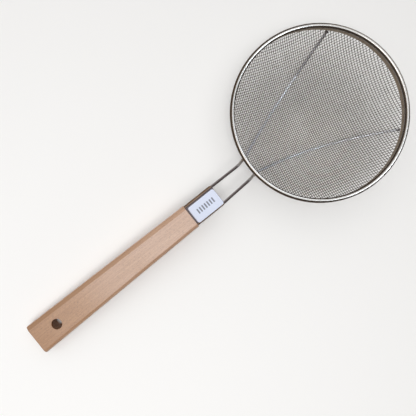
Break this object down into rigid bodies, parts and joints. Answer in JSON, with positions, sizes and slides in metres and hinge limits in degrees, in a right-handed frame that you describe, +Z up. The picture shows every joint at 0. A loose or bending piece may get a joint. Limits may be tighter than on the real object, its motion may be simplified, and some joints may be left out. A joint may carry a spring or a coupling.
{
  "type": "wire mesh skimmer",
  "caption": "Round dished wire-mesh skimmer with a rolled rim, two support wires, a sheet-metal shank and a flat tapered wooden handle with a hanging hole.",
  "frame": {"origin": "on the table surface, under the middle of the bounding box, with the skimmer lying as it rests: on the bottom of its dish and the end of its handle", "axes": "+X from the handle's end towards the far side of the dish, +Y to the left seen from the handle, +Z up, away from the table"},
  "size_m": [0.494, 0.198, 0.0572],
  "materials": {
    "wood": "satin",
    "steel": "polished",
    "mesh": "satin",
    "paper": "matte"
  },
  "bodies": {
    "root": {"wooden_handle": "wood", "shank_sleeve": "steel", "tang_nails": "steel", "left_support_wire": "steel", "right_support_wire": "steel", "rim_hoop": "steel", "rim_core_wire": "steel", "spot_welds": "steel", "mesh_dish": "mesh", "paper_label": "paper"}
  },
  "joints": []
}
